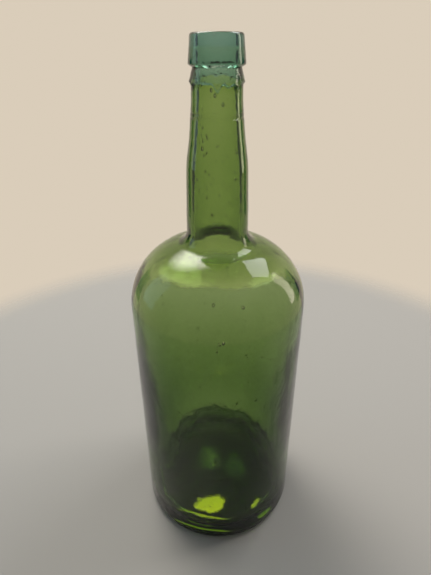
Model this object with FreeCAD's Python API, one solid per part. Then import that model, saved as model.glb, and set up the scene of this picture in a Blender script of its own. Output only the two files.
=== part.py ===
import FreeCAD, Part
import math
import os

# An antique blown bottle: one hollow vessel with a pushed-up base, and a two-part finish of hot glass
# laid on round the end of its neck. Millimetres, +Z up, standing on Z = 0 with its axis on Z.

# Driving sizes
HEIGHT = 305.0  # foot to lip
BASE_RADIUS = 53.8  # at the top of the heel, the widest part of the body
SHOULDER_RADIUS = 52.0  # at the top of the body, which leans in slightly all the way up
SHOULDER_Z = 167.0  # where the body's line ends and the shoulder turns in
NECK_ROOT_RADIUS = 17.1  # where the shoulder has swept up into the neck
NECK_TOP_RADIUS = 12.4  # just under the finish
BORE_RADIUS = 8.55  # a straight seat for a cork
WALL = 4.6  # body, shoulder and the foot of the neck

# The base
HEEL_RADIUS = 6.4
RIM_WIDTH = 3.2  # the flat ring that the bottle stands on
RIM_ROUND = 5.0  # from that ring up into the push-up
PUSH_UP = 21.0  # height of the hollow under the base
BASE_WALL = 5.0  # glass over the top of the push-up
TROUGH_ROUND = 7.0  # inside, where the wall meets the floor

# The shoulder and the neck
SHOULDER_ROUND = 39.0
ROOT_ROUND = 9.0
# Share of the way up the neck, and share of its narrowing that is still to come there
NECK_TAPER = ((0.32, 0.87), (0.48, 0.78), (0.66, 0.41), (0.84, 0.135))

# The finish
FINISH_HEIGHT = 20.4
COLLAR_HEIGHT = 13.8  # from the groove to the lip
COLLAR_FOOT_PROUD = 1.2  # how far the collar's lower edge stands out from the neck below the finish
COLLAR_TOP_INSET = 0.05  # how far its upper edge stands in from there
COLLAR_LIFT = 1.3  # the collar's lower edge stands this far above the bottom of the groove
COLLAR_EDGE_ROUND = 0.9
LIP_ROUND = 1.4  # outer edge of the lip
MOUTH_ROUND = 1.1  # inner edge of the lip
RING_PROUD = 1.05  # how far the ring's edge stands out from the neck
RING_LIFT = 1.5  # the ring's widest line stands this far above its foot
RING_EDGE_ROUND = 0.8
GROOVE_INSET = 0.8  # how far the groove between ring and collar goes in from the neck's surface
SEAT_INSET = 1.8  # how far the neck's end, inside the finish, is stepped in
SEAT_CONE = 4.0  # height of the taper from the neck to that end
CAP_DEPTH = 6.0  # the collar reaches this far above the neck's end

# Runs of glass below the ring: turn from the front in degrees, reach below the ring's foot, girth
DRIPS = (
    (1.0, 3.4, 1.15),
    (24.0, 1.6, 1.5),
    (47.0, 2.3, 1.25),
    (128.0, 2.0, 1.4),
    (215.0, 1.3, 1.6),
    (296.0, 1.7, 1.2),
)
FRONT = -90.0  # the side that faces -Y

# Heights, radii and the angle that follow from those
FOOT_Z = HEIGHT - FINISH_HEIGHT
GROOVE_Z = HEIGHT - COLLAR_HEIGHT
NECK_END_Z = HEIGHT - CAP_DEPTH
SEAT_RADIUS = NECK_TOP_RADIUS - SEAT_INSET
GROOVE_RADIUS = NECK_TOP_RADIUS - GROOVE_INSET
RING_RADIUS = NECK_TOP_RADIUS + RING_PROUD
COLLAR_FOOT_RADIUS = NECK_TOP_RADIUS + COLLAR_FOOT_PROUD
COLLAR_TOP_RADIUS = NECK_TOP_RADIUS - COLLAR_TOP_INSET
LEAN = math.atan2(BASE_RADIUS - SHOULDER_RADIUS, SHOULDER_Z - HEEL_RADIUS)


def point(radius, height):
    """A point of the half section, which is drawn in the XZ plane."""
    return FreeCAD.Vector(radius, 0, height)


def line(start, end):
    """A straight edge."""
    return Part.makeLine(start, end)


def arc(centre, start, end):
    """The shorter arc about centre from start to end."""
    middle = (start + end) * 0.5 - centre
    middle.normalize()
    return Part.Arc(start, centre + middle * (start - centre).Length, end).toShape()


def spin(edges):
    """The solid that a closed half section sweeps out round the axis."""
    face = Part.Face(Part.Wire(edges))
    return face.revolve(FreeCAD.Vector(), FreeCAD.Vector(0, 0, 1), 360)


def rounded(corners):
    """A closed outline through (radius, height, round) corners, each round being a tangent arc."""
    edges = []
    last = None
    first = None
    for index, (radius, height, size) in enumerate(corners):
        here = point(radius, height)
        before = point(*corners[index - 1][:2]) - here
        after = point(*corners[(index + 1) % len(corners)][:2]) - here
        start = end = here
        if size:
            half = before.getAngle(after) / 2
            before.normalize()
            after.normalize()
            start = here + before * (size / math.tan(half))
            end = here + after * (size / math.tan(half))
            inward = before + after
            inward.normalize()
            centre = here + inward * (size / math.sin(half))
        if last is None:
            first = start
        else:
            edges.append(line(last, start))
        if size:
            edges.append(arc(centre, start, end))
        last = end
    edges.append(line(last, first))
    return edges


def wall_line(depth, height):
    """Radius of the body's leaning side at a height, moved inwards by a depth."""
    return BASE_RADIUS - (height - HEEL_RADIUS) * math.tan(LEAN) - depth / math.cos(LEAN)


def neck_side(root, top, root_z):
    """The neck's curve from its root to the finish, for the outside or the bore."""
    stations = [point(root, root_z)]
    for rise, left in NECK_TAPER:
        stations.append(point(top + (root - top) * left, root_z + (FOOT_Z - root_z) * rise))
    stations.append(point(top, FOOT_Z))
    up = FreeCAD.Vector(0, 0, 1)
    curve = Part.BSplineCurve()
    curve.interpolate(Points=stations, InitialTangent=up, FinalTangent=up)
    return curve.toShape()


# The shoulder is two tangent arcs: one turns in from the body and one sweeps up into the neck.
outwards = FreeCAD.Vector(math.cos(LEAN), 0, math.sin(LEAN))
shoulder_start = point(SHOULDER_RADIUS, SHOULDER_Z)
shoulder_centre = shoulder_start - outwards * SHOULDER_ROUND
span = NECK_ROOT_RADIUS + ROOT_ROUND - shoulder_centre.x
root_z = shoulder_centre.z + math.sqrt((SHOULDER_ROUND + ROOT_ROUND) ** 2 - span ** 2)
root_centre = point(NECK_ROOT_RADIUS + ROOT_ROUND, root_z)
sweep = (root_centre - shoulder_centre) * (1 / (SHOULDER_ROUND + ROOT_ROUND))

# The push-up is a dome that meets a rounded rim, with the floor inside a thicker dome over it.
heel_centre = point(wall_line(HEEL_RADIUS, HEEL_RADIUS), HEEL_RADIUS)
rim_centre = point(heel_centre.x - RIM_WIDTH, RIM_ROUND)
dome_radius = (rim_centre.x ** 2 + PUSH_UP ** 2) / (2 * PUSH_UP) - RIM_ROUND
dome_centre = point(0, PUSH_UP - dome_radius)
dome_edge = dome_centre + (rim_centre - dome_centre) * (dome_radius / (dome_radius + RIM_ROUND))
floor_radius = dome_radius + BASE_WALL
reach = floor_radius + TROUGH_ROUND
trough_z = dome_centre.z + math.sqrt(reach ** 2 - wall_line(WALL + TROUGH_ROUND, PUSH_UP) ** 2)
trough_centre = point(wall_line(WALL + TROUGH_ROUND, trough_z), trough_z)
to_trough = trough_centre - dome_centre
to_trough.normalize()
trough_centre = dome_centre + to_trough * reach


def make_vessel():
    """The blown bottle, from the push-up round the outside to the neck's end and back inside."""
    heel_start = point(heel_centre.x, 0)
    heel_end = heel_centre + outwards * HEEL_RADIUS
    rim_start = point(rim_centre.x, 0)
    turn = shoulder_centre + sweep * SHOULDER_ROUND
    root = point(NECK_ROOT_RADIUS, root_z)
    neck_foot = point(NECK_TOP_RADIUS, FOOT_Z)
    seat_foot = point(SEAT_RADIUS, FOOT_Z + SEAT_CONE)
    seat_end = point(SEAT_RADIUS, NECK_END_Z)
    mouth = point(BORE_RADIUS, NECK_END_Z)
    bore_foot = point(BORE_RADIUS, FOOT_Z)
    inner_root = point(NECK_ROOT_RADIUS - WALL, root_z)
    inner_turn = shoulder_centre + sweep * (SHOULDER_ROUND - WALL)
    inner_shoulder = shoulder_start - outwards * WALL
    trough_start = trough_centre + outwards * TROUGH_ROUND
    trough_end = dome_centre + to_trough * floor_radius
    floor_top = point(0, PUSH_UP + BASE_WALL)
    dome_top = point(0, PUSH_UP)
    return spin([
        arc(dome_centre, dome_top, dome_edge),
        arc(rim_centre, dome_edge, rim_start),
        line(rim_start, heel_start),
        arc(heel_centre, heel_start, heel_end),
        line(heel_end, shoulder_start),
        arc(shoulder_centre, shoulder_start, turn),
        arc(root_centre, turn, root),
        neck_side(NECK_ROOT_RADIUS, NECK_TOP_RADIUS, root_z),
        line(neck_foot, seat_foot),
        line(seat_foot, seat_end),
        line(seat_end, mouth),
        line(mouth, bore_foot),
        neck_side(NECK_ROOT_RADIUS - WALL, BORE_RADIUS, root_z),
        arc(root_centre, inner_root, inner_turn),
        arc(shoulder_centre, inner_turn, inner_shoulder),
        line(inner_shoulder, trough_start),
        arc(trough_centre, trough_start, trough_end),
        arc(dome_centre, trough_end, floor_top),
        line(floor_top, dome_top),
    ])


def make_drip(turn, reach, girth):
    """A run of glass that hangs from under the ring and hugs the neck, widening upwards."""
    tip = FOOT_Z - reach + girth
    top = FOOT_Z + RING_LIFT
    offset = NECK_TOP_RADIUS - 0.25 * girth
    end = Part.makeSphere(girth, point(offset, tip))
    tail = Part.makeCone(girth, girth * 1.35, top - tip, point(offset, tip))
    drop = end.fuse(tail)
    drop.rotate(FreeCAD.Vector(), FreeCAD.Vector(0, 0, 1), FRONT + turn)
    return drop


def make_ring():
    """The lower ring, flared down to a rough edge with runs of glass below it, seated on the neck's taper."""
    band = spin(rounded([
        (NECK_TOP_RADIUS, FOOT_Z, 0),
        (RING_RADIUS, FOOT_Z + RING_LIFT, RING_EDGE_ROUND),
        (GROOVE_RADIUS, GROOVE_Z, 0),
        (SEAT_RADIUS, GROOVE_Z, 0),
        (SEAT_RADIUS, FOOT_Z + SEAT_CONE, 0),
    ]))
    core = spin([
        line(point(0, root_z), point(NECK_ROOT_RADIUS, root_z)),
        neck_side(NECK_ROOT_RADIUS, NECK_TOP_RADIUS, root_z),
        line(point(NECK_TOP_RADIUS, FOOT_Z), point(SEAT_RADIUS, FOOT_Z + SEAT_CONE)),
        line(point(SEAT_RADIUS, FOOT_Z + SEAT_CONE), point(SEAT_RADIUS, HEIGHT)),
        line(point(SEAT_RADIUS, HEIGHT), point(0, HEIGHT)),
        line(point(0, HEIGHT), point(0, root_z)),
    ])
    runs = [make_drip(*drip).cut(core) for drip in DRIPS]
    return band.fuse(runs).removeSplitter()


def make_collar():
    """The lip: a band that widens downwards, caps the neck's end and carries the mouth of the bore."""
    return spin(rounded([
        (GROOVE_RADIUS, GROOVE_Z, 0),
        (COLLAR_FOOT_RADIUS, GROOVE_Z + COLLAR_LIFT, COLLAR_EDGE_ROUND),
        (COLLAR_TOP_RADIUS, HEIGHT, LIP_ROUND),
        (BORE_RADIUS, HEIGHT, MOUTH_ROUND),
        (BORE_RADIUS, NECK_END_Z, 0),
        (SEAT_RADIUS, NECK_END_Z, 0),
        (SEAT_RADIUS, GROOVE_Z, 0),
    ]))


os.makedirs("parts", exist_ok=True)
for node, shape in (
    ("bottle_body", make_vessel()),
    ("string_ring", make_ring()),
    ("lip_collar", make_collar()),
):
    solid = shape.Solids[0]
    if len(shape.Solids) != 1 or not solid.isValid():
        raise ValueError(node + " is not one valid solid")
    solid.exportStep("parts/" + node + ".step")
    print(node, round(solid.Volume / 1000, 2), "cm3", solid.BoundBox)
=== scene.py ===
"""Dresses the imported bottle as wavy, seedy, hand-finished green glass on a pale studio floor."""

import logging
import math
from dataclasses import dataclass, field
from enum import Enum

import bpy
from mathutils import Matrix, Vector


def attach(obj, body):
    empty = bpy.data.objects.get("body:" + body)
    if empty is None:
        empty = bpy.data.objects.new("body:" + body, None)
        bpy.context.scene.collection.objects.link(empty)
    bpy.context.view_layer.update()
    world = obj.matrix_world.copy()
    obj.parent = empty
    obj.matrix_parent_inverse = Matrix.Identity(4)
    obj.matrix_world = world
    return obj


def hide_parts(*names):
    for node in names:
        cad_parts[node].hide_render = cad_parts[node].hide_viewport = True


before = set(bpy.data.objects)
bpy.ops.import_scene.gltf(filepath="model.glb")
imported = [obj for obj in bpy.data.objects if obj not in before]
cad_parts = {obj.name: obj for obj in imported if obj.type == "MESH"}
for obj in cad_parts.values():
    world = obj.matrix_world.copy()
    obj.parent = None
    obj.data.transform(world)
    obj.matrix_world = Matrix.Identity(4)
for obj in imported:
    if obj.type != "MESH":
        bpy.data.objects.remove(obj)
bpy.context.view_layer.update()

LOG = logging.getLogger("bottle")
MM = 0.001
ROOT_BODY = "root"
FRAME_HEIGHT = 575
FUSED = "fused"
SAG = "sag"
WAVE = "wave"
INSIDE = "inside"
SECTION_TAGS = (FUSED, SAG, WAVE, INSIDE)

Colour = tuple[float, float, float]
Place = tuple[float, float, float]
Pair = tuple[float, float]
Stations = tuple[Pair, ...]
Socket = bpy.types.NodeSocket
Given = bpy.types.NodeGroupInput

WHITE: Colour = (1.0, 1.0, 1.0)


class Side(Enum):
    """Which face of the glass a stretch of the half section belongs to."""

    OUTER = 0.0
    INNER = 1.0


class Graph:
    """Adds nodes to a node tree and joins them."""

    def __init__(self, tree: bpy.types.NodeTree) -> None:
        """Starts on a tree.

        Args:
            tree: The node tree to add to.
        """
        self.tree = tree

    @classmethod
    def blank(cls, owner: bpy.types.Material | bpy.types.World | bpy.types.Light) -> "Graph":
        """Empties the node tree of a material, a world or a lamp and starts on it.

        Args:
            owner: What the tree belongs to.

        Returns:
            The graph of the empty tree.
        """
        owner.use_nodes = True
        owner.node_tree.nodes.clear()
        return cls(owner.node_tree)

    def add(self, kind: str, inputs: dict | None = None, **settings: object) -> bpy.types.Node:
        """Adds one node.

        Args:
            kind: The node's Blender type.
            inputs: Values or sockets for its inputs, by name, identifier or index.
            settings: The node's own properties.

        Returns:
            The new node.
        """
        node = self.tree.nodes.new(kind)
        for name, value in settings.items():
            setattr(node, name, value)
        for key, value in (inputs or {}).items():
            self.feed(self.port(node.inputs, key), value)
        return node

    @staticmethod
    def port(sockets: bpy.types.bpy_prop_collection, key: str | int) -> Socket:
        """Finds a socket by its identifier, or else by its name or index."""
        return next((socket for socket in sockets if socket.identifier == key), None) or sockets[key]

    def feed(self, socket: Socket, value: object) -> None:
        """Links a socket to an input, or sets the input's own value.

        Args:
            socket: The input.
            value: The socket to link to it, or its value.
        """
        if isinstance(value, Socket):
            self.tree.links.new(value, socket)
        else:
            socket.default_value = value

    def math(self, operation: str, *values: object) -> Socket:
        """Adds a Math node on numbers or sockets and returns its result."""
        return self.add("ShaderNodeMath", dict(enumerate(values)), operation=operation).outputs[0]

    def vector(self, operation: str, *values: object) -> Socket:
        """Adds a Vector Math node on vectors or sockets and returns its vector."""
        return self.add("ShaderNodeVectorMath", dict(enumerate(values)), operation=operation).outputs[0]

    def scaled(self, vector: Socket, factor: object) -> Socket:
        """Scales a vector by a number or socket and returns it."""
        node = self.add("ShaderNodeVectorMath", {"Vector": vector, "Scale": factor}, operation="SCALE")
        return node.outputs["Vector"]

    def length(self, vector: Socket) -> Socket:
        """Measures a vector and returns its length."""
        return self.add("ShaderNodeVectorMath", {0: vector}, operation="LENGTH").outputs["Value"]

    def ramp(self, value: Socket, low: float, high: float, start: float = 0.0, end: float = 1.0) -> Socket:
        """Adds a smooth step.

        Args:
            value: What it reads.
            low: Where the step starts.
            high: Where it ends.
            start: The result below it.
            end: The result above it.

        Returns:
            The stepped value.
        """
        node = self.add(
            "ShaderNodeMapRange",
            {"Value": value, "From Min": low, "From Max": high, "To Min": start, "To Max": end},
            interpolation_type="SMOOTHSTEP",
        )
        return node.outputs[0]

    def noise(self, vector: Socket, scale: object, detail: float, grain: float = 0.5) -> Socket:
        """Adds a noise texture.

        Args:
            vector: Where it is read.
            scale: Its size, as waves per metre.
            detail: How many finer layers it has.
            grain: How strong those layers are.

        Returns:
            The noise, centred on nought.
        """
        node = self.add(
            "ShaderNodeTexNoise",
            {"Vector": vector, "Scale": scale, "Detail": detail, "Roughness": grain},
        )
        return self.math("SUBTRACT", node.outputs[0], 0.5)

    def chance(self, low: object, high: object, seed: object) -> Socket:
        """Adds a random number.

        Args:
            low: The least that it can be.
            high: The most that it can be.
            seed: Which draw it is.

        Returns:
            The number.
        """
        node = self.add(
            "FunctionNodeRandomValue",
            {"Min_001": low, "Max_001": high, "Seed": seed},
            data_type="FLOAT",
        )
        return self.port(node.outputs, "Value_001")

    def fading(self, shader: bpy.types.Node, gone: Socket) -> None:
        """Ends a material in a shader that goes clear.

        Args:
            shader: The shader's node.
            gone: How clear it is, from nought to one.
        """
        clear = self.add("ShaderNodeBsdfTransparent")
        both = self.add("ShaderNodeMixShader", {0: gone, 1: shader.outputs[0], 2: clear.outputs[0]})
        self.add("ShaderNodeOutputMaterial", {"Surface": both.outputs[0]})


def eased(share: float) -> float:
    """Bends an even rise from nought to one into a smooth step."""
    return share * share * (3.0 - 2.0 * share)


def stand(name: str, data: bpy.types.ID) -> bpy.types.Object:
    """Puts a mesh, a lamp or a camera into the scene, at the origin.

    Args:
        name: The object's name.
        data: What it shows.

    Returns:
        The object.
    """
    thing = bpy.data.objects.new(name, data)
    bpy.context.scene.collection.objects.link(thing)
    return thing


def disc(name: str, radius: float, sides: int) -> bpy.types.Mesh:
    """Makes a flat disc.

    Args:
        name: The mesh's name.
        radius: Its radius in metres.
        sides: How many sides its edge has.

    Returns:
        The disc, which faces upwards.
    """
    mesh = bpy.data.meshes.new(name)
    ring = [math.tau * index / sides for index in range(sides)]
    mesh.from_pydata(
        [(radius * math.cos(turn), radius * math.sin(turn), 0.0) for turn in ring],
        [],
        [list(range(sides))],
    )
    return mesh


@dataclass
class SectionPoint:
    """A point of a half section, in millimetres, with what the glass does there."""

    radius: float
    height: float
    fused: float = 0.0
    sag: float = 0.0
    wave: float = 1.0
    inside: float = Side.OUTER.value


@dataclass
class HalfSection:
    """A half section that grows from point to point along lines, arcs and smooth curves."""

    ARC_LEAST = 3
    CURVE_LEAST = 2
    ROUND_STEPS = 4
    SCORE_STEPS = 4

    step: float = 2.5
    side: Side = Side.OUTER
    points: list[SectionPoint] = field(default_factory=list)

    def put(self, radius: float, height: float, **tags: float) -> None:
        """Adds one point with its tags."""
        self.points.append(SectionPoint(radius, height, inside=self.side.value, **tags))

    def line(self, radius: float, height: float, step: float = 0.0, **tags: float) -> None:
        """Draws a straight stretch.

        Args:
            radius: Radius at its end.
            height: Height at its end.
            step: Spacing of its points, or the section's own where it is nought.
            tags: What the glass does along it.
        """
        last = self.points[-1]
        length = math.hypot(radius - last.radius, height - last.height)
        count = max(1, round(length / (step or self.step)))
        for index in range(1, count + 1):
            share = index / count
            self.put(
                last.radius + (radius - last.radius) * share,
                last.height + (height - last.height) * share,
                **tags,
            )

    def arc(self, centre: Pair, radius: float, height: float, step: float = 0.0) -> None:
        """Draws the shorter arc about a centre to an end point.

        Args:
            centre: Radius and height of the arc's centre.
            radius: Radius at its end.
            height: Height at its end.
            step: Spacing of its points, or the section's own where it is nought.
        """
        last = self.points[-1]
        first = math.atan2(last.height - centre[1], last.radius - centre[0])
        turn = math.atan2(height - centre[1], radius - centre[0]) - first
        turn = (turn + math.pi) % math.tau - math.pi
        size = math.hypot(radius - centre[0], height - centre[1])
        count = max(self.ARC_LEAST, round(abs(turn) * size / (step or self.step)))
        for index in range(1, count + 1):
            angle = first + turn * index / count
            self.put(centre[0] + size * math.cos(angle), centre[1] + size * math.sin(angle))

    def rounded(self, radius: float, height: float, size: float, after: Pair, **tags: float) -> None:
        """Draws a line towards a corner and an arc round it.

        Args:
            radius: Radius of the corner.
            height: Height of the corner.
            size: Radius of the round.
            after: The next corner, which the arc turns towards.
            tags: What the glass does along the line.
        """
        last = self.points[-1]
        here = Vector((radius, height))
        back = (Vector((last.radius, last.height)) - here).normalized()
        on = (Vector(after) - here).normalized()
        half = back.angle(on) / 2
        start = here + back * size / math.tan(half)
        end = here + on * size / math.tan(half)
        centre = here + (back + on).normalized() * size / math.sin(half)
        self.line(start.x, start.y, **tags)
        self.arc((centre.x, centre.y), end.x, end.y, size / self.ROUND_STEPS)

    def smooth(self, stations: list[Pair]) -> None:
        """Draws a smooth curve that is upright at both ends.

        Args:
            stations: Radius and height of the points that it goes through, all upwards or all downwards.
        """
        slopes = [0.0]
        for before, after in zip(stations, stations[2:]):
            slopes.append((after[0] - before[0]) / (after[1] - before[1]))
        slopes.append(0.0)
        for index in range(len(stations) - 1):
            (low, bottom), (high, top) = stations[index], stations[index + 1]
            rise = top - bottom
            count = max(self.CURVE_LEAST, round(abs(rise) / self.step))
            for part in range(1, count + 1):
                t = part / count
                radius = (2 * t**3 - 3 * t**2 + 1) * low + (3 * t**2 - 2 * t**3) * high
                radius += (t**3 - 2 * t**2 + t) * rise * slopes[index]
                radius += (t**3 - t**2) * rise * slopes[index + 1]
                self.put(radius, bottom + rise * t)

    def ease(self, first: int, centre: Vector, stations: Stations) -> None:
        """Moves the stretch drawn last outwards, by shifts that ease from station to station.

        Args:
            first: Where the stretch starts.
            centre: Radius and height that the points above it move away from.
            stations: Heights, from the top down, and the shift at each.
        """
        for point in self.points[first:]:
            away = Vector((point.radius - centre.x, max(0.0, point.height - centre.y))).normalized()
            spans = zip(stations, stations[1:])
            (top, start), (bottom, end) = next(span for span in spans if point.height >= span[1][0])
            share = (top - point.height) / (top - bottom)
            away *= start + (end - start) * eased(share)
            point.radius += away.x
            point.height += away.y

    def score(self, height: float, depth: float, width: float) -> None:
        """Presses a shallow line into the upright side drawn so far.

        Args:
            height: Height of the line.
            depth: How deep it is.
            width: Half its width.
        """
        clear = [point for point in self.points if abs(point.height - height) > width]
        after = next(index for index, point in enumerate(clear) if point.height > height)
        low, high = clear[after - 1], clear[after]
        steps = self.SCORE_STEPS
        for part in range(-steps, steps + 1):
            level = height + width * part / steps
            share = (level - low.height) / (high.height - low.height)
            dip = depth * (1.0 - (part / steps) ** 2) ** 2
            radius = low.radius + (high.radius - low.radius) * share - dip
            clear.insert(after + part + steps, SectionPoint(radius, level, inside=self.side.value))
        self.points = clear


@dataclass(frozen=True)
class Drip:
    """A run of glass below the ring: its turn and width in degrees and its reach in millimetres."""

    turn: float
    reach: float
    width: float


@dataclass(frozen=True)
class GlassFinish:
    """A coloured glass, by what a millimetre of it takes from red, green and blue."""

    name: str
    absorb_per_mm: Colour
    ior: float = 1.52
    gloss: float = 0.65
    haze: float = 0.004
    haze_spread: float = 0.04
    haze_scale: float = 55.0
    haze_detail: float = 6.0
    skin: float = 0.05
    skin_scale: float = 420.0
    skin_detail: float = 3.0

    def material(self) -> bpy.types.Material:
        """Builds the material: clear glass that darkens with depth, a little hazy and uneven on its skin.

        Returns:
            The node material. Faces tagged as fused let light straight through, as joined glass does.
        """
        material = bpy.data.materials.new(self.name)
        graph = Graph.blank(material)
        place = graph.add("ShaderNodeTexCoord").outputs["Object"]
        fused = graph.add("ShaderNodeAttribute", attribute_name=FUSED).outputs["Fac"]
        free = graph.math("SUBTRACT", 1.0, fused)
        haze = graph.noise(place, self.haze_scale, self.haze_detail)
        rough = graph.math("MAXIMUM", graph.math("MULTIPLY_ADD", haze, self.haze_spread, self.haze), 0.0)
        skin = graph.noise(place, self.skin_scale, self.skin_detail)
        bump = graph.add(
            "ShaderNodeBump",
            {"Strength": graph.math("MULTIPLY", free, self.skin), "Distance": MM, "Height": skin},
        )
        glass = graph.add(
            "ShaderNodeBsdfPrincipled",
            {
                "Base Color": (*WHITE, 1.0),
                "Transmission Weight": 1.0,
                "Specular Tint": (self.gloss, self.gloss, self.gloss, 1.0),
                "Roughness": graph.math("MULTIPLY", rough, free),
                "IOR": graph.math("MULTIPLY_ADD", free, self.ior - 1.0, 1.0),
                "Normal": bump.outputs[0],
            },
        )
        glass.inputs["IOR"].default_value = self.ior
        density = max(self.absorb_per_mm) / MM
        colour = [1.0 - share / MM / density for share in self.absorb_per_mm]
        depth = graph.add("ShaderNodeVolumeAbsorption", {"Color": (*colour, 1.0), "Density": density})
        graph.add(
            "ShaderNodeOutputMaterial",
            {"Surface": glass.outputs[0], "Volume": depth.outputs[0]},
        )
        return material


@dataclass(frozen=True)
class BlownSurface:
    """How uneven the glass is, in millimetres, and how many seeds it holds."""

    segments: int
    outer_wave: float
    outer_size: float
    inner_wave: float
    inner_size: float
    seeds_per_square_metre: float
    seed_radius: float
    seed_stretch: float
    seed_depth: Pair
    seed: int

    def inputs(self) -> dict[str, float]:
        """Gives the sizes as inputs of the tree that blows the glass, in metres."""
        return {
            "Segments": self.segments,
            "Seed": self.seed,
            "Outer wave": self.outer_wave * MM,
            "Outer scale": 1.0 / (self.outer_size * MM),
            "Inner wave": self.inner_wave * MM,
            "Inner scale": 1.0 / (self.inner_size * MM),
            "Seed density": self.seeds_per_square_metre,
            "Seed radius": self.seed_radius * MM,
            "Seed stretch": self.seed_stretch,
            "Seed depth low": self.seed_depth[0] * MM,
            "Seed depth high": self.seed_depth[1] * MM,
        }


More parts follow.
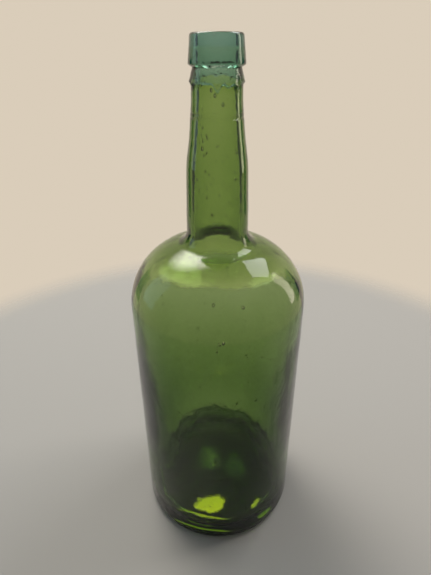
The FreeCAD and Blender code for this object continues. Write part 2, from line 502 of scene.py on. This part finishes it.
class BlownGlass:
    """A Geometry Nodes tree that spins a half section into uneven glass with seeds in its wall."""

    # The circle that guides the spin, and the gap at which points on the axis merge, in metres.
    GUIDE = 0.05
    POLE_GAP = 1e-6
    CREASE = math.radians(38.0)
    # The outer skin is only pressed in, and the inner one is drawn out along the axis.
    PRESS = 0.25
    OUTER_DETAIL = 4.0
    OUTER_GRAIN = 0.58
    INNER_DETAIL = 2.0
    INNER_DRAW = (1.0, 1.0, 0.15)
    INNER_OFFSET = (7.3, 1.9, 4.1)
    # The ragged edge, in waves per metre and millimetres.
    RAGGED_SCALE = 260.0
    RAGGED_DETAIL = 2.0
    RAGGED_DROP = 1.8
    RAGGED_PLANE = (1.0, 1.0, 0.0)
    # Seeds crowd above a height in metres, and a high rarity makes large ones few.
    SEEDY_ABOVE = 0.215
    SEEDY_GAIN = 2.5
    SEED_SMALLEST = 0.35
    SEED_RARITY = 3.0
    SEED_SIZE_DRAW = 5.0
    SEED_SIDES = 8
    SEED_RINGS = 5
    UPWARDS = (0.0, 0.0, 1.0)
    # Limits of the tags that open and joined faces have.
    OPEN_BELOW = 0.01
    JOINED_ABOVE = 0.99
    # The inputs that are lengths, scales and shares.
    NUMBERS = (
        "Outer wave",
        "Outer scale",
        "Inner wave",
        "Inner scale",
        "Seed density",
        "Seed radius",
        "Seed stretch",
        "Seed depth low",
        "Seed depth high",
    )

    def __init__(self, name: str, drips: tuple[Drip, ...] = ()) -> None:
        """Builds the tree.

        Args:
            name: The tree's name.
            drips: The runs of glass that the section's sagging points follow.
        """
        self.tree = bpy.data.node_groups.new(name, "GeometryNodeTree")
        self.graph = Graph(self.tree)
        self.sockets: dict[str, str] = {}
        self.drips = drips
        self.build()

    def socket(self, name: str, kind: str) -> None:
        """Adds a named input and keeps its identifier."""
        item = self.tree.interface.new_socket(name, in_out="INPUT", socket_type=kind)
        self.sockets[name] = item.identifier

    def tag(self, name: str) -> Socket:
        """Reads one of the half section's tags."""
        node = self.graph.add("GeometryNodeInputNamedAttribute", {"Name": name}, data_type="FLOAT")
        return node.outputs[0]

    def sagging(self, place: Socket) -> Socket:
        """Works out how far a sagging point hangs down.

        Args:
            place: The point's position.

        Returns:
            The drop in metres, which follows the angle round the axis.
        """
        graph = self.graph
        part = graph.add("ShaderNodeSeparateXYZ", {0: place}).outputs
        angle = graph.math("ARCTAN2", part[0], graph.math("MULTIPLY", part[1], -1.0))
        level = graph.vector("MULTIPLY", place, self.RAGGED_PLANE)
        rough = graph.noise(level, self.RAGGED_SCALE, self.RAGGED_DETAIL)
        drop = graph.math("MULTIPLY", rough, self.RAGGED_DROP * MM)
        for drip in self.drips:
            away = graph.math("SUBTRACT", angle, math.radians(drip.turn))
            away = graph.math("WRAP", away, math.pi, -math.pi)
            away = graph.math("DIVIDE", away, math.radians(drip.width))
            square = graph.math("MULTIPLY", away, away)
            bell = graph.math("EXPONENT", graph.math("MULTIPLY", square, -1.0))
            drop = graph.math("MULTIPLY_ADD", bell, drip.reach * MM, drop)
        return graph.math("MULTIPLY", drop, self.tag(SAG))

    def waving(self, place: Socket, given: Given) -> Socket:
        """Works out how far a point stands out from or into the true section.

        Args:
            place: The point's position.
            given: The tree's inputs.

        Returns:
            The distance along the normal, in metres.
        """
        graph = self.graph
        inner = self.tag(INSIDE)
        outer_scale = given.outputs["Outer scale"]
        outer_noise = graph.noise(place, outer_scale, self.OUTER_DETAIL, self.OUTER_GRAIN)
        drawn = graph.vector("MULTIPLY", place, self.INNER_DRAW)
        drawn = graph.vector("ADD", drawn, self.INNER_OFFSET)
        inner_noise = graph.noise(drawn, given.outputs["Inner scale"], self.INNER_DETAIL)
        outer_noise = graph.math("MINIMUM", graph.math("SUBTRACT", outer_noise, self.PRESS), 0.0)
        outer = graph.math("MULTIPLY", outer_noise, given.outputs["Outer wave"])
        inside = graph.math("MULTIPLY", inner_noise, given.outputs["Inner wave"])
        wave = graph.add("ShaderNodeMix", {"Factor": inner, "A": outer, "B": inside}, data_type="FLOAT")
        return graph.math("MULTIPLY", wave.outputs[0], self.tag(WAVE))

    def seeds(self, skin: Socket, given: Given) -> Socket:
        """Scatters seeds, the small bubbles left in the melt, under the outer skin.

        Args:
            skin: The glass they lie in.
            given: The tree's inputs.

        Returns:
            Their faces, turned inwards because the glass is outside them.
        """
        graph = self.graph
        covered = graph.math("ADD", self.tag(INSIDE), self.tag(FUSED))
        open_skin = graph.math("LESS_THAN", covered, self.OPEN_BELOW)
        place = graph.add("GeometryNodeInputPosition").outputs[0]
        height = graph.add("ShaderNodeSeparateXYZ", {0: place}).outputs[2]
        high = graph.math("GREATER_THAN", height, self.SEEDY_ABOVE)
        crowd = graph.math("MULTIPLY_ADD", high, self.SEEDY_GAIN, 1.0)
        spots = graph.add(
            "GeometryNodeDistributePointsOnFaces",
            {
                "Mesh": skin,
                "Selection": open_skin,
                "Density": graph.math("MULTIPLY", given.outputs["Seed density"], crowd),
                "Seed": given.outputs["Seed"],
            },
        )
        depth = graph.chance(
            given.outputs["Seed depth low"],
            given.outputs["Seed depth high"],
            given.outputs["Seed"],
        )
        sunk = graph.add(
            "GeometryNodeSetPosition",
            {
                "Geometry": spots.outputs["Points"],
                "Offset": graph.scaled(spots.outputs["Normal"], graph.math("MULTIPLY", depth, -1.0)),
            },
        )
        draw = graph.math("ADD", given.outputs["Seed"], self.SEED_SIZE_DRAW)
        rare = graph.math("POWER", graph.chance(0.0, 1.0, draw), self.SEED_RARITY)
        size = graph.math("MULTIPLY_ADD", rare, 1.0 - self.SEED_SMALLEST, self.SEED_SMALLEST)
        shape = graph.add(
            "ShaderNodeCombineXYZ",
            {0: size, 1: graph.math("MULTIPLY", size, given.outputs["Seed stretch"]), 2: size},
        )
        upright = graph.add(
            "FunctionNodeAlignRotationToVector",
            {"Rotation": spots.outputs["Rotation"], "Vector": self.UPWARDS},
            axis="Y",
            pivot_axis="Z",
        )
        ball = graph.add(
            "GeometryNodeMeshUVSphere",
            {
                "Segments": self.SEED_SIDES,
                "Rings": self.SEED_RINGS,
                "Radius": given.outputs["Seed radius"],
            },
        )
        hollow = graph.add("GeometryNodeFlipFaces", {"Mesh": ball.outputs["Mesh"]})
        bubbles = graph.add(
            "GeometryNodeInstanceOnPoints",
            {
                "Points": sunk.outputs[0],
                "Instance": hollow.outputs[0],
                "Rotation": upright.outputs[0],
                "Scale": shape.outputs[0],
            },
        )
        return graph.add("GeometryNodeRealizeInstances", {"Geometry": bubbles.outputs[0]}).outputs[0]

    def build(self) -> None:
        """Puts the tree together."""
        graph = self.graph
        self.tree.interface.new_socket("Section", in_out="INPUT", socket_type="NodeSocketGeometry")
        for name in ("Segments", "Seed"):
            self.socket(name, "NodeSocketInt")
        for name in self.NUMBERS:
            self.socket(name, "NodeSocketFloat")
        self.socket("Glass", "NodeSocketMaterial")
        self.tree.interface.new_socket("Geometry", in_out="OUTPUT", socket_type="NodeSocketGeometry")
        given = graph.add("NodeGroupInput")
        section = graph.add("GeometryNodeMeshToCurve", {"Mesh": given.outputs["Section"]})
        circle = graph.add(
            "GeometryNodeCurvePrimitiveCircle",
            {"Resolution": given.outputs["Segments"], "Radius": self.GUIDE},
        )
        spun = graph.add(
            "GeometryNodeCurveToMesh",
            {"Curve": circle.outputs["Curve"], "Profile Curve": section.outputs[0]},
        )
        closed = graph.add(
            "GeometryNodeMergeByDistance",
            {"Geometry": spun.outputs[0], "Distance": self.POLE_GAP},
        )
        outwards = graph.add("GeometryNodeFlipFaces", {"Mesh": closed.outputs[0]})
        place = graph.add("GeometryNodeInputPosition").outputs[0]
        normal = graph.add("GeometryNodeInputNormal").outputs[0]
        down = graph.add("ShaderNodeCombineXYZ", {2: graph.math("MULTIPLY", self.sagging(place), -1.0)})
        uneven = graph.vector("ADD", graph.scaled(normal, self.waving(place, given)), down.outputs[0])
        skin = graph.add("GeometryNodeSetPosition", {"Geometry": outwards.outputs[0], "Offset": uneven})
        joined = graph.math("GREATER_THAN", self.tag(FUSED), self.JOINED_ABOVE)
        marked = graph.add(
            "GeometryNodeStoreNamedAttribute",
            {"Geometry": skin.outputs[0], "Name": FUSED, "Value": joined},
            data_type="FLOAT",
            domain="FACE",
        )
        everything = graph.add("GeometryNodeJoinGeometry", {"Geometry": marked.outputs[0]})
        graph.feed(everything.inputs[0], self.seeds(marked.outputs[0], given))
        soft = graph.add("GeometryNodeSetShadeSmooth", {"Geometry": everything.outputs[0]})
        angle = graph.add("GeometryNodeInputMeshEdgeAngle").outputs[0]
        creased = graph.add(
            "GeometryNodeSetShadeSmooth",
            {
                "Geometry": soft.outputs[0],
                "Selection": graph.math("GREATER_THAN", angle, self.CREASE),
                "Shade Smooth": False,
            },
            domain="EDGE",
        )
        real = graph.add("GeometryNodeRealizeInstances", {"Geometry": creased.outputs[0]})
        dressed = graph.add(
            "GeometryNodeSetMaterial",
            {"Geometry": real.outputs[0], "Material": given.outputs["Glass"]},
        )
        graph.add("NodeGroupOutput", {"Geometry": dressed.outputs[0]})

    def blow(
        self,
        name: str,
        section: HalfSection,
        surface: BlownSurface,
        glass: bpy.types.Material,
    ) -> bpy.types.Object:
        """Makes a piece of glass from a half section.

        Args:
            name: The piece's name.
            section: Its half section, closed on the axis or on itself.
            surface: How uneven it is.
            glass: Its material.

        Returns:
            The piece, as a plain mesh.
        """
        mesh = bpy.data.meshes.new(name)
        points = section.points
        edges = [(index, index + 1) for index in range(len(points) - 1)]
        if points[0].radius > 0.0:
            edges.append((len(points) - 1, 0))
        spots = [(point.radius * MM - self.GUIDE, -point.height * MM, 0.0) for point in points]
        mesh.from_pydata(spots, edges, [])
        for tag in SECTION_TAGS:
            values = mesh.attributes.new(tag, "FLOAT", "POINT")
            for item, point in zip(values.data, points):
                item.value = getattr(point, tag)
        piece = stand(name, mesh)
        modifier = piece.modifiers.new("blown_glass", "NODES")
        modifier.node_group = self.tree
        for key, value in {**surface.inputs(), "Glass": glass}.items():
            modifier[self.sockets[key]] = value
        graph = bpy.context.evaluated_depsgraph_get()
        plain = bpy.data.meshes.new_from_object(piece.evaluated_get(graph))
        piece.modifiers.clear()
        piece.data = plain
        plain.name = name
        return piece


@dataclass(frozen=True)
class FinishSeat:
    """The end of the neck, which the ring and the collar are laid on, in millimetres."""

    foot: float = 284.6
    neck: float = 12.4
    radius: float = 9.0
    cone: float = 0.4
    end: float = 299.0
    bore: float = 8.55
    groove: float = 11.6
    groove_height: float = 291.2
    skin: float = 0.02
    cone_step: float = 1.0


@dataclass
class Vessel:
    """The blown bottle, from the push-up to the end of the neck, in millimetres."""

    seat: FinishSeat
    base: float = 53.8
    shoulder: float = 52.0
    shoulder_height: float = 167.0
    shoulder_round: float = 39.0
    neck_root: float = 17.1
    root_round: float = 9.0
    wall: float = 4.6
    thinning: Stations = ((200.0, 0.0), (190.0, 2.1), (168.0, 1.7), (60.0, -1.7), (17.0, 0.0))
    heel_round: float = 6.4
    rim_width: float = 3.2
    rim_round: float = 5.0
    push_up: float = 21.0
    floor_wall: float = 5.0
    trough_round: float = 7.0
    neck_taper: Stations = ((0.32, 0.87), (0.48, 0.78), (0.66, 0.41), (0.84, 0.135))
    tool_lines: Stations = ((270.2, 0.30), (272.3, 0.17))
    tool_width: float = 0.5
    sag_run: float = 10.0
    still_foot: float = 4.0
    still_bore: float = 50.0
    rim_step: float = 0.7
    foot_step: float = 1.6
    heel_step: float = 0.8
    dome_step: float = 2.0
    root_step: float = 1.0
    bore_root_step: float = 1.5
    trough_step: float = 1.2
    surface: BlownSurface = BlownSurface(
        segments=208,
        outer_wave=0.55,
        outer_size=21.0,
        inner_wave=1.1,
        inner_size=18.0,
        seeds_per_square_metre=5500.0,
        seed_radius=0.74,
        seed_stretch=1.6,
        seed_depth=(0.78, 1.2),
        seed=11,
    )

    def lean(self) -> float:
        """Angle of the body's side from upright."""
        return math.atan2(self.base - self.shoulder, self.shoulder_height - self.heel_round)

    def wall_line(self, depth: float, height: float) -> float:
        """Radius of the body's side at a height, moved inwards by a depth."""
        lean = self.lean()
        return self.base - (height - self.heel_round) * math.tan(lean) - depth / math.cos(lean)

    def neck_side(self, root: float, top: float, root_height: float) -> list[Pair]:
        """Works out the neck's curve, for the outside or the bore.

        Args:
            root: Radius at the neck's root.
            top: Radius under the finish.
            root_height: Height of the root.

        Returns:
            Radius and height of the points that the curve goes through, upwards.
        """
        rise = self.seat.foot - root_height
        stations = [(root, root_height)]
        for share, left in self.neck_taper:
            stations.append((top + (root - top) * left, root_height + rise * share))
        return stations + [(top, self.seat.foot)]

    def section(self) -> HalfSection:
        """Draws the half section, up the outside and down the inside.

        Returns:
            The section, which starts and ends on the axis.
        """
        seat = self.seat
        lean = self.lean()
        out = Vector((math.cos(lean), math.sin(lean)))
        turn = Vector((self.shoulder, self.shoulder_height))
        dome = turn - out * self.shoulder_round
        reach = self.shoulder_round + self.root_round
        across = self.neck_root + self.root_round - dome.x
        root = Vector((dome.x + across, dome.y + math.sqrt(reach**2 - across**2)))
        sweep = (root - dome).normalized()
        heel = Vector((self.wall_line(self.heel_round, self.heel_round), self.heel_round))
        rim = Vector((heel.x - self.rim_width, self.rim_round))
        push = (rim.x**2 + self.push_up**2) / (2 * self.push_up) - self.rim_round
        kick = Vector((0.0, self.push_up - push))
        kick_edge = kick + (rim - kick).normalized() * push
        floor = push + self.floor_wall
        corner = self.wall_line(self.wall + self.trough_round, self.push_up)
        trough = Vector((corner, kick.y + math.sqrt((floor + self.trough_round) ** 2 - corner**2)))
        trough_edge = kick + (trough - kick).normalized() * floor

        drawn = HalfSection()
        drawn.put(0.0, self.push_up)
        drawn.arc(kick, *kick_edge)
        drawn.arc(rim, rim.x, 0.0, self.rim_step)
        drawn.line(heel.x, 0.0, self.foot_step)
        drawn.arc(heel, *(heel + out * self.heel_round), self.heel_step)
        drawn.line(*turn)
        drawn.arc(dome, *(dome + sweep * self.shoulder_round), self.dome_step)
        drawn.arc(root, self.neck_root, root.y, self.root_step)
        drawn.smooth(self.neck_side(self.neck_root, seat.neck, root.y))
        for height, depth in self.tool_lines:
            drawn.score(height, depth, self.tool_width)
        for point in drawn.points:
            low = max(0.0, 1.0 - (seat.foot - point.height) / self.sag_run)
            point.sag = eased(low)
            point.wave = (1.0 - point.sag) * min(1.0, point.height / self.still_foot)
        drawn.points[-1].fused = 1.0
        drawn.line(seat.radius, seat.foot + seat.cone, seat.cone_step, fused=1.0, wave=0.0)
        drawn.line(seat.radius, seat.end, fused=1.0, wave=0.0)
        drawn.side = Side.INNER
        drawn.line(seat.bore, seat.end, fused=1.0, wave=0.0)
        drawn.line(seat.bore, seat.foot, wave=0.0)
        inner = self.neck_side(self.neck_root - self.wall, seat.bore, root.y)
        drawn.smooth(inner[::-1])
        for point in drawn.points:
            if point.inside and point.height < seat.foot:
                point.wave = min((seat.foot - point.height) / self.still_bore, 1.0)
        drawn.arc(root, *(root - sweep * (self.root_round + self.wall)), self.bore_root_step)
        first = len(drawn.points)
        drawn.arc(dome, *(turn - out * self.wall), self.dome_step)
        drawn.line(*(trough + out * self.trough_round))
        drawn.ease(first, dome, self.thinning)
        drawn.arc(trough, *trough_edge, self.trough_step)
        drawn.arc(kick, 0.0, self.push_up + self.floor_wall)
        return drawn

    def build(self, tree: BlownGlass, glass: bpy.types.Material) -> bpy.types.Object:
        """Blows the vessel."""
        return tree.blow("blown_bottle", self.section(), self.surface, glass)


@dataclass
class StringRing:
    """The lower ring of the finish, laid on rough, in millimetres."""

    seat: FinishSeat
    radius: float = 13.45
    lift: float = 0.9
    edge_round: float = 0.5
    sag_power: float = 1.5
    rough_gain: float = 2.0
    step: float = 0.5
    surface: BlownSurface = BlownSurface(
        segments=160,
        outer_wave=0.5,
        outer_size=4.0,
        inner_wave=0.0,
        inner_size=10.0,
        seeds_per_square_metre=14000.0,
        seed_radius=0.65,
        seed_stretch=0.8,
        seed_depth=(0.66, 1.1),
        seed=3,
    )

    def section(self) -> HalfSection:
        """Draws the half section, from the foot round the outside and back down the seat.

        Returns:
            The closed section, a hair clear of the neck.
        """
        seat = self.seat
        skin = seat.skin
        top = seat.groove_height - skin
        drawn = HalfSection(step=self.step)
        drawn.put(seat.neck + skin, seat.foot, fused=1.0, sag=1.0, wave=0.0)
        drawn.rounded(self.radius, seat.foot + self.lift, self.edge_round, (seat.groove, top))
        drawn.line(seat.groove, top)
        for point in drawn.points:
            rise = (point.height - seat.foot) / (seat.groove_height - seat.foot)
            low = max(0.0, min(1.0, 1.0 - rise))
            point.sag = low**self.sag_power
            point.wave = min(1.0, self.rough_gain * low) if point.fused == 0.0 else 0.0
        drawn.side = Side.INNER
        drawn.points[-1].fused = 1.0
        drawn.line(seat.radius + skin, top, fused=1.0, wave=0.0)
        drawn.line(seat.radius + skin, seat.foot + seat.cone, fused=1.0, wave=0.0)
        drawn.line(seat.neck + skin, seat.foot, seat.cone_step, fused=1.0, wave=0.0)
        drawn.points.pop()
        return drawn

    def build(self, tree: BlownGlass, glass: bpy.types.Material) -> bpy.types.Object:
        """Lays the ring on."""
        return tree.blow("laid_on_ring", self.section(), self.surface, glass)


@dataclass
class LipCollar:
    """The upper band of the finish, tooled smooth, in millimetres."""

    seat: FinishSeat
    height: float = 305.0
    foot_radius: float = 13.6
    foot_lift: float = 1.3
    foot_round: float = 0.9
    top_radius: float = 12.35
    lip_round: float = 1.4
    mouth_round: float = 1.1
    mouth_wave: float = 0.4
    step: float = 0.8
    surface: BlownSurface = BlownSurface(
        segments=160,
        outer_wave=0.28,
        outer_size=8.0,
        inner_wave=0.0,
        inner_size=10.0,
        seeds_per_square_metre=4000.0,
        seed_radius=0.3,
        seed_stretch=0.8,
        seed_depth=(0.5, 2.0),
        seed=8,
    )

    def section(self) -> HalfSection:
        """Draws the half section, up the outside, over the lip and down the bore and the seat.

        Returns:
            The closed section, a hair clear of the neck.
        """
        seat = self.seat
        skin = seat.skin
        foot = seat.groove_height + self.foot_lift
        drawn = HalfSection(step=self.step)
        drawn.put(seat.groove, seat.groove_height, fused=1.0, wave=0.0)
        drawn.rounded(self.foot_radius, foot, self.foot_round, (self.top_radius, self.height))
        drawn.rounded(self.top_radius, self.height, self.lip_round, (seat.bore, self.height))
        below = (seat.bore, seat.end)
        drawn.rounded(seat.bore, self.height, self.mouth_round, below, wave=self.mouth_wave)
        drawn.side = Side.INNER
        drawn.line(seat.bore, seat.end + skin, wave=0.0)
        drawn.points[-1].fused = 1.0
        drawn.line(seat.radius + skin, seat.end + skin, fused=1.0, wave=0.0)
        drawn.line(seat.radius + skin, seat.groove_height, fused=1.0, wave=0.0)
        drawn.line(seat.groove, seat.groove_height, fused=1.0, wave=0.0)
        drawn.points.pop()
        return drawn

    def build(self, tree: BlownGlass, glass: bpy.types.Material) -> bpy.types.Object:
        """Tools the collar."""
        return tree.blow("tooled_collar", self.section(), self.surface, glass)


@dataclass(frozen=True)
class Softbox:
    """A studio lamp, in metres and watts."""

    MIDDLE = (0.5, 0.5, 0.0)

    name: str
    place: Place
    aim: Place
    size: Pair
    power: float
    colour: Colour = WHITE
    through: bool = True
    core: float = 1.0

    def fade(self, data: bpy.types.AreaLight) -> None:
        """Dims the lamp from its core out to its edge, so that its image in the glass is soft.

        Args:
            data: The lamp.
        """
        graph = Graph.blank(data)
        across = graph.add("ShaderNodeNewGeometry").outputs["Parametric"]
        away = graph.length(graph.vector("SUBTRACT", across, self.MIDDLE))
        glow = graph.ramp(away, self.core / 2, 0.5, 1.0, 0.0)
        shine = graph.add("ShaderNodeEmission", {"Strength": glow})
        graph.add("ShaderNodeOutputLight", {0: shine.outputs[0]})

    def build(self) -> None:
        """Hangs the lamp, out of the camera's sight."""
        data = bpy.data.lights.new(self.name, "AREA")
        data.shape = "ELLIPSE" if self.size[0] == self.size[1] else "RECTANGLE"
        data.size, data.size_y = self.size
        data.energy = self.power
        data.color = self.colour
        if self.core < 1.0:
            self.fade(data)
        lamp = stand(self.name, data)
        lamp.location = self.place
        beam = Vector(self.aim) - Vector(self.place)
        lamp.rotation_euler = beam.to_track_quat("-Z", "Y").to_euler()
        lamp.visible_camera = False
        lamp.visible_transmission = self.through


@dataclass(frozen=True)
class PaintedLightPool:
    """A painted pool of light, in metres: a glowing patch on the floor under the base that stands in for
    the lamplight the thick glass would gather there.
    """

    name: str
    place: Pair
    size: Pair
    turn: float
    strength: float
    colour: Colour = (1.0, 0.68, 0.10)
    core: float = 0.66
    ragged: float = 0.9
    ragged_size: float = 0.55
    ragged_detail: float = 3.0
    clear_share: float = 1.0 / 6.0
    lift: float = 0.0002
    sides: int = 48

    def build(self) -> bpy.types.Object:
        """Lays the painted patch of light.

        Returns:
            A disc that shines in its core and is clear at its edge.
        """
        material = bpy.data.materials.new(self.name)
        graph = Graph.blank(material)
        place = graph.add("ShaderNodeTexCoord").outputs["Object"]
        torn = graph.noise(place, 1.0 / self.ragged_size, self.ragged_detail)
        out = graph.math("MULTIPLY_ADD", torn, self.ragged, graph.length(place))
        gone = graph.ramp(out, self.core, 1.0 - self.ragged * self.clear_share)
        shine = graph.add(
            "ShaderNodeEmission",
            {"Color": (*self.colour, 1.0), "Strength": self.strength},
        )
        graph.fading(shine, gone)
        mesh = disc(self.name, 1.0, self.sides)
        mesh.materials.append(material)
        pool = stand(self.name, mesh)
        pool.location = (*self.place, self.lift)
        pool.rotation_euler.z = math.radians(self.turn)
        pool.scale = (*self.size, 1.0)
        return pool


@dataclass
class Studio:
    """The pale floor that fades into a pale backdrop, the lamps, the painted pools of light under the base
    and the camera.
    """

    backdrop: Colour = (0.70, 0.61, 0.49)
    floor: Colour = (0.42, 0.41, 0.39)
    card: Colour = (0.05, 0.15, 0.23)
    ambient: float = 0.22
    floor_radius: float = 0.85
    floor_sides: int = 96
    fade: Pair = (0.34, 0.42)
    card_turn: float = 59.0
    card_distance: float = 0.62
    card_size: Pair = (0.16, 0.32)
    card_foot: float = 0.02
    lamps: tuple[Softbox, ...] = (
        Softbox(
            "key",
            place=(-0.36, 0.52, 1.10),
            aim=(0.0, 0.0, 0.12),
            size=(1.0, 1.0),
            power=32.0,
            colour=(1.0, 0.95, 0.87),
            core=0.1,
        ),
        Softbox(
            "window",
            place=(0.57, 0.34, 0.96),
            aim=(0.0, 0.0, 0.18),
            size=(0.55, 0.38),
            power=4.0,
        ),
        Softbox(
            "fill",
            place=(-1.02, 0.12, 0.50),
            aim=(0.0, 0.0, 0.15),
            size=(0.45, 0.85),
            power=1.0,
            colour=(0.55, 0.84, 1.0),
            through=False,
        ),
        Softbox(
            "strip",
            place=(1.0, 0.30, 0.42),
            aim=(0.0, 0.0, 0.15),
            size=(0.22, 0.80),
            power=2.0,
            colour=(1.0, 0.88, 0.74),
            through=False,
        ),
    )
    # Painted pools of light: glowing patches on the floor under the base that stand in for the glints the
    # glass would gather there.
    pools: tuple[PaintedLightPool, ...] = (
        PaintedLightPool("painted_light_pool_wide", (-0.005, -0.0205), (0.0150, 0.0100), 8.0, 3.2),
        PaintedLightPool("painted_light_pool_small", (0.027, -0.0225), (0.0045, 0.0075), -20.0, 2.6),
        PaintedLightPool("painted_light_pool_thin", (-0.010, -0.0350), (0.0240, 0.0018), -13.0, 2.4),
    )
    focal_px: float = 410.0
    sensor: float = 36.0
    pitch: float = 30.1
    roll: float = 0.19
    distance: float = 0.21396
    eye: float = 0.29814
    slide_px: float = 2.2
    near: float = 0.01
    bounces: int = 32
    mirror_bounces: int = 16

    def world(self) -> None:
        """Sets the backdrop that the camera and the glass see, and the even light of the room."""
        world = bpy.data.worlds.new("studio")
        bpy.context.scene.world = world
        graph = Graph.blank(world)
        rays = graph.add("ShaderNodeLightPath").outputs
        seen = graph.math("MAXIMUM", rays["Is Camera Ray"], rays["Is Transmission Ray"])
        seen = graph.math("MAXIMUM", seen, rays["Is Glossy Ray"])
        room = graph.add(
            "ShaderNodeBackground",
            {"Color": (*WHITE, 1.0), "Strength": self.ambient},
        )
        wall = graph.add(
            "ShaderNodeBackground",
            {"Color": (*self.backdrop, 1.0), "Strength": 1.0},
        )
        both = graph.add("ShaderNodeMixShader", {0: seen, 1: room.outputs[0], 2: wall.outputs[0]})
        graph.add("ShaderNodeOutputWorld", {"Surface": both.outputs[0]})

    def ground(self) -> bpy.types.Object:
        """Lays the floor, a disc that fades out into the backdrop.

        Returns:
            The floor.
        """
        material = bpy.data.materials.new("pale_floor")
        graph = Graph.blank(material)
        place = graph.add("ShaderNodeTexCoord").outputs["Object"]
        matt = graph.add("ShaderNodeBsdfDiffuse", {"Color": (*self.floor, 1.0)})
        graph.fading(matt, graph.ramp(graph.length(place), *self.fade))
        mesh = disc("floor", self.floor_radius, self.floor_sides)
        mesh.materials.append(material)
        return stand("floor", mesh)

    def flag(self, name: str, turn: float) -> bpy.types.Object:
        """Stands a dark card beside the view, which gives the clear glass its dark lines.

        Args:
            name: The card's name.
            turn: Its angle from straight behind, in degrees.

        Returns:
            The card, which the camera doesn't see.
        """
        material = bpy.data.materials.new(name)
        graph = Graph.blank(material)
        matt = graph.add("ShaderNodeBsdfDiffuse", {"Color": (*self.card, 1.0)})
        graph.add("ShaderNodeOutputMaterial", {"Surface": matt.outputs[0]})
        out = Vector((math.sin(math.radians(turn)), math.cos(math.radians(turn)), 0.0))
        along = Vector((out.y, -out.x, 0.0)) * self.card_size[0] / 2
        foot = out * self.card_distance + Vector((0.0, 0.0, self.card_foot))
        top = Vector((0.0, 0.0, self.card_size[1]))
        corners = [foot - along, foot + along, foot + along + top, foot - along + top]
        mesh = bpy.data.meshes.new(name)
        mesh.from_pydata(corners, [], [(0, 1, 2, 3)])
        mesh.materials.append(material)
        card = stand(name, mesh)
        card.visible_camera = False
        card.visible_diffuse = False
        card.visible_shadow = False
        return card

    def camera(self) -> None:
        """Sets the camera at the photograph's viewing angle."""
        data = bpy.data.cameras.new("camera")
        data.sensor_width = self.sensor
        data.lens = self.sensor * self.focal_px / FRAME_HEIGHT
        data.shift_x = -self.slide_px / FRAME_HEIGHT
        data.clip_start = self.near
        eye = stand("camera", data)
        eye.location = (0.0, -self.distance, self.eye)
        tilt = Matrix.Rotation(math.radians(90.0 - self.pitch), 3, "X")
        level = Matrix.Rotation(math.radians(-self.roll), 3, "Z")
        eye.rotation_euler = (tilt @ level).to_euler()
        bpy.context.scene.camera = eye

    def rays(self) -> None:
        """Lets light cross all the glass, and sets the plain view."""
        scene = bpy.context.scene
        scene.view_settings.view_transform = "Standard"
        scene.cycles.max_bounces = self.bounces
        scene.cycles.transmission_bounces = self.bounces
        scene.cycles.glossy_bounces = self.mirror_bounces
        scene.cycles.transparent_max_bounces = self.bounces

    def build(self) -> None:
        """Sets up the whole studio."""
        self.world()
        self.ground()
        self.flag("card_left", -self.card_turn)
        self.flag("card_right", self.card_turn)
        for lamp in self.lamps:
            lamp.build()
        for pool in self.pools:
            pool.build()
        self.camera()
        self.rays()


def dress(piece: bpy.types.Object, node: str) -> None:
    """Hands a piece to the frame.

    Args:
        piece: The finished piece.
        node: The CAD node that it stands for.
    """
    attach(piece, ROOT_BODY)
    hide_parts(node)
    LOG.info("%s stands for %s with %d faces", piece.name, node, len(piece.data.polygons))


def main() -> None:
    """Builds the bottle and its studio, in order."""
    logging.basicConfig(level=logging.INFO)
    seat = FinishSeat()
    drips = (
        Drip(1.0, 3.4, 7.5),
        Drip(24.0, 1.6, 9.0),
        Drip(47.0, 2.3, 7.0),
        Drip(128.0, 2.0, 8.0),
        Drip(215.0, 1.3, 9.0),
        Drip(296.0, 1.7, 7.0),
    )
    bottle_green = GlassFinish("bottle_green_glass", (0.208, 0.144, 0.325)).material()
    sea_green = GlassFinish("sea_green_glass", (0.220, 0.133, 0.152)).material()
    tree = BlownGlass("blown_glass", drips)
    dress(Vessel(seat).build(tree, bottle_green), "bottle_body")
    dress(StringRing(seat).build(tree, sea_green), "string_ring")
    dress(LipCollar(seat).build(tree, sea_green), "lip_collar")
    Studio().build()


if __name__ == "__main__":
    main()
